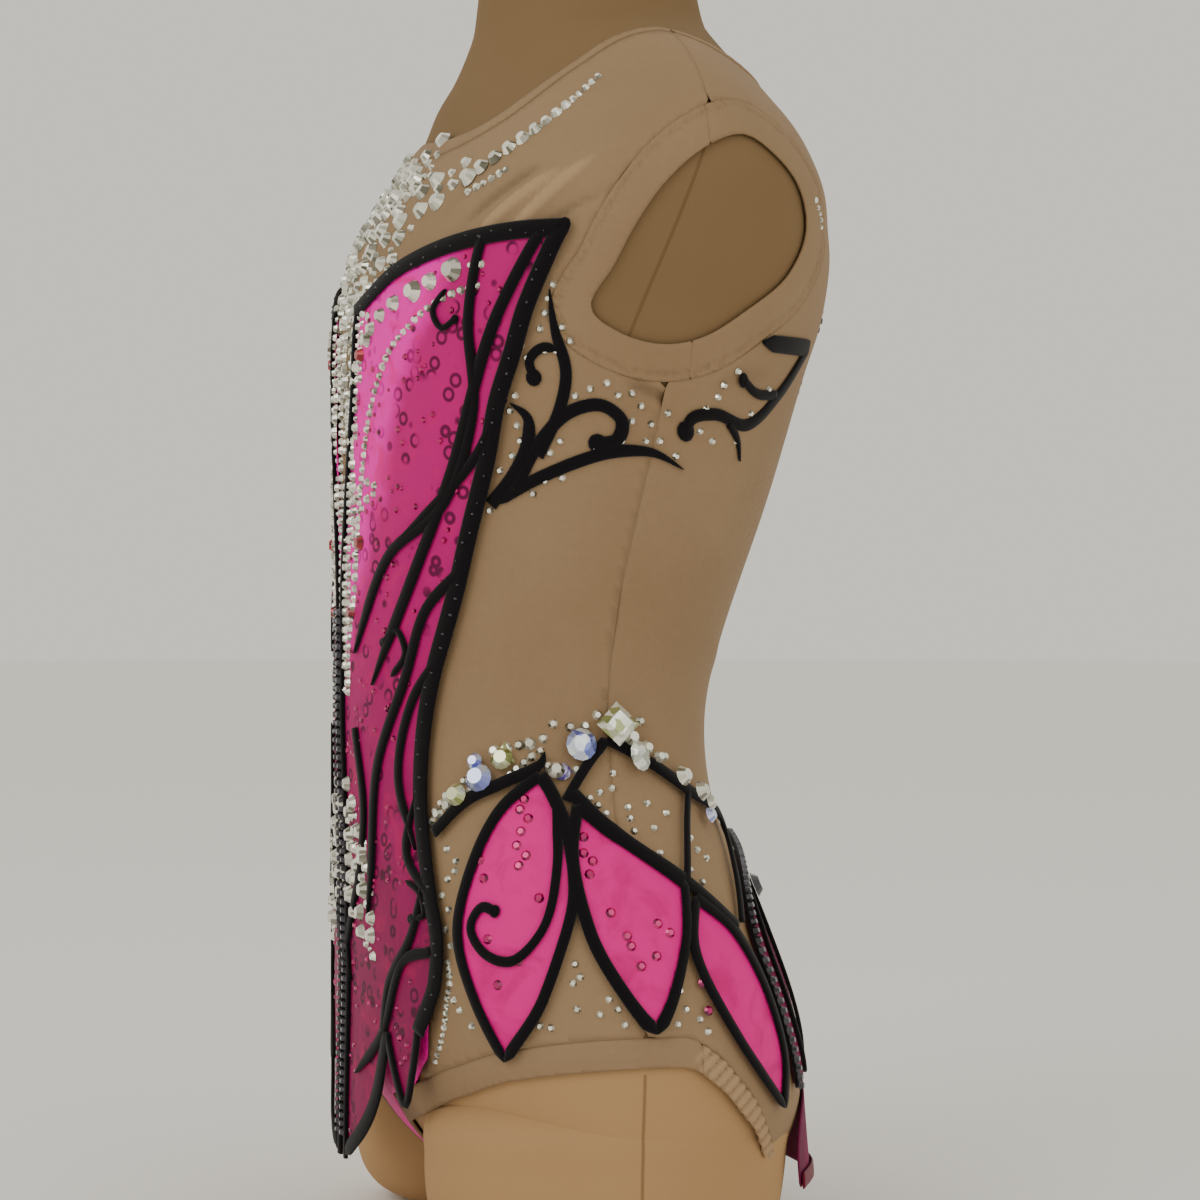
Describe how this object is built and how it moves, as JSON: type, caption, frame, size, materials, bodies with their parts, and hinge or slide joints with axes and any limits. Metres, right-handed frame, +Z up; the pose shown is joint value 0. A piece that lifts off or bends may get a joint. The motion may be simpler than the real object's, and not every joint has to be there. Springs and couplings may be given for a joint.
{
  "type": "rhythmic gymnastics leotard on a torso dress form",
  "caption": "Sleeveless rhythmic gymnastics leotard with pink pointed panels, black velvet scrolls, hip petals and crystal stones, on a limbless fabric-covered torso form.",
  "frame": {"origin": "centre of the part's width and depth, in the plane that the thigh stumps stand on", "axes": "+Z up, front of the wearer towards -Y, the wearer's left side towards +X"},
  "size_m": [0.3174, 0.2278, 0.6],
  "materials": {
    "form_cover": "matt jersey cover",
    "nude_mesh": "matt stretch mesh",
    "brief_pink": "satin stretch cloth",
    "panel_pink": "satin stretch cloth, painted",
    "petal_pink": "satin stretch cloth",
    "black_velvet": "velvet pile",
    "dark_mesh": "matt mesh",
    "plum_mesh": "matt mesh",
    "wine_binding": "satin binding",
    "crystal": "foil-backed cut glass",
    "violet_crystal": "foil-backed cut glass"
  },
  "bodies": {
    "root": {"torso_form": "form_cover", "front_body": "nude_mesh", "back_body": "nude_mesh", "brief_front": "brief_pink", "neck_binding": "nude_mesh", "back_spine": "dark_mesh", "back_hip_panel": "plum_mesh", "back_trim": "black_velvet", "back_skirt": "plum_mesh", "skirt_hem": "wine_binding", "armhole_band_left": "nude_mesh", "armhole_band_right": "nude_mesh", "leg_binding_left": "nude_mesh", "leg_binding_right": "nude_mesh", "front_panel_left": "panel_pink", "front_panel_right": "panel_pink", "panel_trim_left": "black_velvet", "panel_trim_right": "black_velvet", "front_scroll_left": "black_velvet", "front_scroll_right": "black_velvet", "back_scroll_left": "black_velvet", "back_scroll_right": "black_velvet", "hip_petal_front_left": "petal_pink", "hip_petal_front_right": "petal_pink", "hip_petal_middle_left": "petal_pink", "hip_petal_middle_right": "petal_pink", "hip_petal_back_left": "petal_pink", "hip_petal_back_right": "petal_pink", "hip_trim_left": "black_velvet", "hip_trim_right": "black_velvet", "hip_stone_square_left": "crystal", "hip_stone_square_right": "crystal", "hip_stone_round_left": "crystal", "hip_stone_round_right": "crystal", "hip_stone_violet_left": "violet_crystal", "hip_stone_violet_right": "violet_crystal", "hip_stone_oval_left": "crystal", "hip_stone_oval_right": "crystal", "hip_stone_triangle_left": "crystal", "hip_stone_triangle_right": "crystal"}
  },
  "joints": []
}
